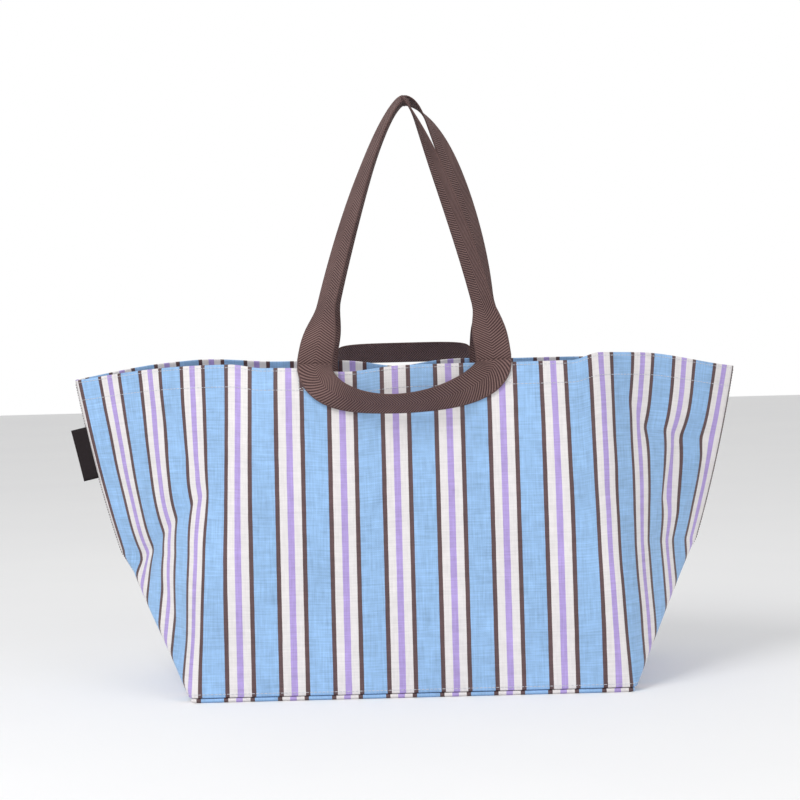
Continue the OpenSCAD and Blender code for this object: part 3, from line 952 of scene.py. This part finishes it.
def make_label():
    seam_lo = bag_at(-HALF_LOOP, LABEL_Z / (RIM_H - SEAM_DROP), 0, "front") / MM
    seam_hi = bag_at(-HALF_LOOP, (LABEL_Z + LABEL_LEN) / (RIM_H - SEAM_DROP), 0, "front") / MM
    ahead = unit(np.array([seam_hi[0] - seam_lo[0], 0, seam_hi[2] - seam_lo[2]]))
    away = np.array([-ahead[2], 0, ahead[0]])
    foot = np.array([seam_lo[0], 0, seam_lo[2]])
    # the strip's path: out along one face, round the fold, and back along the other
    path = [(-3.0, -0.28), (0.5, -0.3), (1.6, -0.45)]
    path += [(x, -0.5) for x in np.linspace(3.0, LABEL_W + 0.6, 8)]
    path += [(LABEL_W + 1.1 + 0.45 * math.cos(a), 0.5 * math.sin(a))
             for a in np.radians([-60, -20, 20, 60])]
    path += [(x, 0.5) for x in np.linspace(LABEL_W + 0.6, 3.0, 8)]
    path += [(1.6, 0.45), (0.5, 0.3), (-3.0, 0.28)]
    rows, verts, uv = 16, [], []
    for j in range(rows + 1):
        s = j / rows
        for k, (x, y) in enumerate(path):
            curl = 0.9 * math.sin(math.pi * s) * smooth(np.array(x), 2.0, LABEL_W) - 0.4 * s
            p = foot + ahead * LABEL_LEN * s + away * x + np.array([0, y + float(curl), 0])
            verts.append(p * MM)
            uv.append((x * MM, LABEL_LEN * s * MM))
    piece = new_piece("side_label_ribbon", verts, grid_faces(rows + 1, len(path), flip=True), None,
                      ["side_label", "side_label_tail"], label_cloth, uv)
    thicken(piece, 0.4 * MM)
    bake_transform(piece)
    return piece


# ---- camera, light and floor ----

CAMERA_AWAY = 2.5
CAMERA_HEIGHT = 0.430
CAMERA_X = -0.0056
CAMERA_DOWN = 2.717
CAMERA_ROLL = -1.49
LENS = 108.6


def make_camera():
    data = bpy.data.cameras.new("camera")
    data.lens, data.sensor_width, data.clip_end = LENS, 36.0, 50.0
    camera = bpy.data.objects.new("camera", data)
    bpy.context.scene.collection.objects.link(camera)
    camera.location = (CAMERA_X, panel_lo.y - CAMERA_AWAY, CAMERA_HEIGHT)
    tilt = Matrix.Rotation(math.radians(90 - CAMERA_DOWN), 4, "X")
    roll = Matrix.Rotation(math.radians(CAMERA_ROLL), 4, "Z")
    camera.rotation_euler = (tilt @ roll).to_euler()
    bpy.context.scene.camera = camera


def area_light(name, place, target, size, power, colour=(1, 1, 1)):
    data = bpy.data.lights.new(name, "AREA")
    data.shape, data.size, data.energy, data.color = "DISK", size, power, colour
    light = bpy.data.objects.new(name, data)
    bpy.context.scene.collection.objects.link(light)
    light.location = place
    light.rotation_euler = (Vector(target) - Vector(place)).to_track_quat("-Z", "Y").to_euler()


def make_studio():
    mesh = bpy.data.meshes.new("floor")
    half = 6.0
    corners = [(-half, -half, 0), (half, -half, 0), (half, half, 0), (-half, half, 0)]
    mesh.from_pydata(corners, [], [(0, 1, 2, 3)])
    mesh.materials.append(floor_material("floor_pale"))
    floor = bpy.data.objects.new("floor", mesh)
    bpy.context.scene.collection.objects.link(floor)
    world = bpy.data.worlds.new("studio")
    world.use_nodes = True
    tree = world.node_tree
    back = tree.nodes["Background"]
    place = tree.nodes.new("ShaderNodeTexCoord")
    split = tree.nodes.new("ShaderNodeSeparateXYZ")
    fade = tree.nodes.new("ShaderNodeValToRGB")
    fade.color_ramp.elements[0].position = 0.25
    fade.color_ramp.elements[0].color = (1.0, 1.0, 1.0, 1.0)
    fade.color_ramp.elements[1].position = 0.7
    fade.color_ramp.elements[1].color = (0.55, 0.55, 0.55, 1.0)
    tree.links.new(place.outputs["Generated"], split.inputs[0])
    tree.links.new(split.outputs["Z"], fade.inputs["Fac"])
    tree.links.new(fade.outputs["Color"], back.inputs["Color"])
    back.inputs["Strength"].default_value = 1.0
    bpy.context.scene.world = world
    area_light("key", (-1.5, -1.9, 2.6), (0, 0, 0.3), 1.8, 48)
    area_light("fill", (1.8, -2.2, 1.6), (0, 0, 0.3), 1.8, 10)
    bpy.context.scene.view_settings.view_transform = "Standard"


make_camera()
make_base()
make_panel("front", front_cloth)
make_panel("back", back_cloth)
side_binding("left_seam_tape", -1)
side_binding("right_seam_tape", 1)
base_binding()
for panel_side in ("front", "back"):
    rim_stitches(panel_side)
    box_stitches(panel_side, -FOOT_X, panel_side + "_left_box")
    box_stitches(panel_side, FOOT_X, panel_side + "_right_box")
seam_stitches(-1, "left_seam")
seam_stitches(1, "right_seam")
base_stitches()
make_handles()
make_label()
make_studio()
